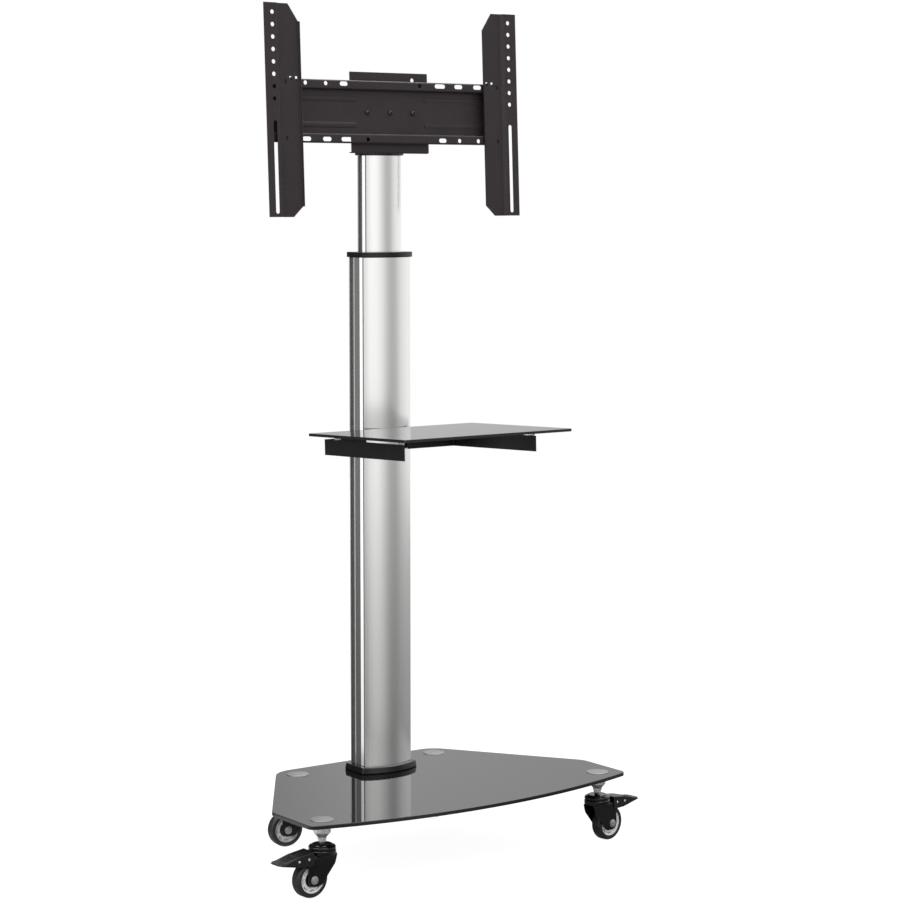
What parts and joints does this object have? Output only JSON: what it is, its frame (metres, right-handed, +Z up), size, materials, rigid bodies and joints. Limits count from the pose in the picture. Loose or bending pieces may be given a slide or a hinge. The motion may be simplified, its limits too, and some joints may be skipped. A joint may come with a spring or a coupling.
{
  "type": "mobile television stand",
  "caption": "Rolling stand with a bow-fronted glass base on braked casters, a telescoping aluminium column, a glass shelf and a slotted television bracket.",
  "frame": {"origin": "on the floor, below the middle of the glass base's outline", "axes": "+X to the right of a person facing the screen, +Y away from them to the rear, +Z up"},
  "size_m": [0.9468, 0.52, 1.7808],
  "materials": {
    "black_glass": "black tempered glass, polished",
    "aluminium": "satin anodised",
    "black_steel": "black powder coat, satin",
    "black_plastic": "black moulded, glossy",
    "gasket_rubber": "matt rubber sheet",
    "tyre_rubber": "matt rubber tread",
    "clear_rubber": "clear soft pad",
    "zinc": "bright zinc plated",
    "disc_metal": "satin metal disc"
  },
  "bodies": {
    "base": {"base_glass": "black_glass", "foot_gasket": "gasket_rubber", "foot_bolt_1": "zinc", "foot_bolt_2": "zinc", "foot_bolt_3": "zinc", "foot_bolt_4": "zinc", "column_foot": "black_steel", "foot_plate": "black_steel", "base_collar": "black_plastic", "lower_column": "aluminium", "column_collar": "black_plastic", "caster_bolt_front_left": "disc_metal", "caster_bolt_front_right": "disc_metal", "caster_bolt_rear_left": "disc_metal", "caster_bolt_rear_right": "disc_metal", "caster_nut_front_left": "zinc", "caster_nut_front_right": "zinc", "caster_nut_rear_left": "zinc", "caster_nut_rear_right": "zinc"},
    "mast": {"upper_column": "aluminium", "upper_glide": "black_plastic", "column_cap": "black_plastic", "head_bracket": "black_steel", "centre_plate": "black_steel", "crossbar": "black_steel", "crossbar_bolt_1": "black_steel", "crossbar_bolt_2": "black_steel", "crossbar_bolt_3": "black_steel"},
    "left_arm": {"tv_arm_left": "black_steel"},
    "right_arm": {"tv_arm_right": "black_steel"},
    "shelf": {"shelf_glass": "black_glass", "shelf_bracket_left": "black_steel", "shelf_bracket_right": "black_steel", "shelf_clamp_bar": "black_steel", "shelf_clamp_bolt_left": "zinc", "shelf_clamp_bolt_right": "zinc", "shelf_pad_left_rear": "clear_rubber", "shelf_pad_left_front": "clear_rubber", "shelf_pad_right_rear": "clear_rubber", "shelf_pad_right_front": "clear_rubber"},
    "knob": {"height_knob": "black_plastic"},
    "caster_front_left": {"caster_fork_front_left": "black_plastic", "caster_axle_front_left": "zinc"},
    "wheel_front_left": {"caster_tyre_front_left": "tyre_rubber", "caster_rim_front_left": "zinc"},
    "pedal_front_left": {"brake_pedal_front_left": "black_plastic"},
    "caster_front_right": {"caster_fork_front_right": "black_plastic", "caster_axle_front_right": "zinc"},
    "wheel_front_right": {"caster_tyre_front_right": "tyre_rubber", "caster_rim_front_right": "zinc"},
    "pedal_front_right": {"brake_pedal_front_right": "black_plastic"},
    "caster_rear_left": {"caster_fork_rear_left": "black_plastic", "caster_axle_rear_left": "zinc"},
    "wheel_rear_left": {"caster_tyre_rear_left": "tyre_rubber", "caster_rim_rear_left": "zinc"},
    "caster_rear_right": {"caster_fork_rear_right": "black_plastic", "caster_axle_rear_right": "zinc"},
    "wheel_rear_right": {"caster_tyre_rear_right": "tyre_rubber", "caster_rim_rear_right": "zinc"}
  },
  "joints": [
    {"name": "mast_height", "type": "slide", "parent": "base", "child": "mast", "axis": [0, 0, 1], "range_m": [-0.19, 0.2]},
    {"name": "left_arm_slide", "type": "slide", "parent": "mast", "child": "left_arm", "axis": [1, 0, 0], "range_m": [0, 0.2]},
    {"name": "right_arm_slide", "type": "slide", "parent": "mast", "child": "right_arm", "axis": [-1, 0, 0], "range_m": [0, 0.2]},
    {"name": "shelf_height", "type": "slide", "parent": "base", "child": "shelf", "axis": [0, 0, 1], "range_m": [-0.45, 0.2]},
    {"name": "knob_turn", "type": "hinge", "parent": "base", "child": "knob", "pos_m": [0, 0.2095, 1.2357], "axis": [0, 1, 0], "continuous": true},
    {"name": "swivel_front_left", "type": "hinge", "parent": "base", "child": "caster_front_left", "pos_m": [-0.355, -0.1555, 0.11], "axis": [0, 0, 1], "continuous": true},
    {"name": "roll_front_left", "type": "hinge", "parent": "caster_front_left", "child": "wheel_front_left", "pos_m": [-0.38596, -0.15712, 0.0375], "axis": [0.0523, -0.9986, 0], "continuous": true},
    {"name": "brake_front_left", "type": "hinge", "parent": "caster_front_left", "child": "pedal_front_left", "pos_m": [-0.39994, -0.15785, 0.082], "axis": [0.0523, -0.9986, 0], "range_deg": [0, 10]},
    {"name": "swivel_front_right", "type": "hinge", "parent": "base", "child": "caster_front_right", "pos_m": [0.355, -0.1555, 0.11], "axis": [0, 0, 1], "continuous": true},
    {"name": "roll_front_right", "type": "hinge", "parent": "caster_front_right", "child": "wheel_front_right", "pos_m": [0.3857, -0.15119, 0.0375], "axis": [-0.1392, 0.9903, 0], "continuous": true},
    {"name": "brake_front_right", "type": "hinge", "parent": "caster_front_right", "child": "pedal_front_right", "pos_m": [0.39956, -0.14924, 0.082], "axis": [-0.1392, 0.9903, 0], "range_deg": [0, 10]},
    {"name": "swivel_rear_left", "type": "hinge", "parent": "base", "child": "caster_rear_left", "pos_m": [-0.18, 0.2065, 0.11], "axis": [0, 0, 1], "continuous": true},
    {"name": "roll_rear_left", "type": "hinge", "parent": "caster_rear_left", "child": "wheel_rear_left", "pos_m": [-0.21077, 0.21028, 0.0375], "axis": [-0.1219, -0.9925, 0], "continuous": true},
    {"name": "swivel_rear_right", "type": "hinge", "parent": "base", "child": "caster_rear_right", "pos_m": [0.18, 0.2065, 0.11], "axis": [0, 0, 1], "continuous": true},
    {"name": "roll_rear_right", "type": "hinge", "parent": "caster_rear_right", "child": "wheel_rear_right", "pos_m": [0.19822, 0.23158, 0.0375], "axis": [-0.809, 0.5878, 0], "continuous": true}
  ]
}
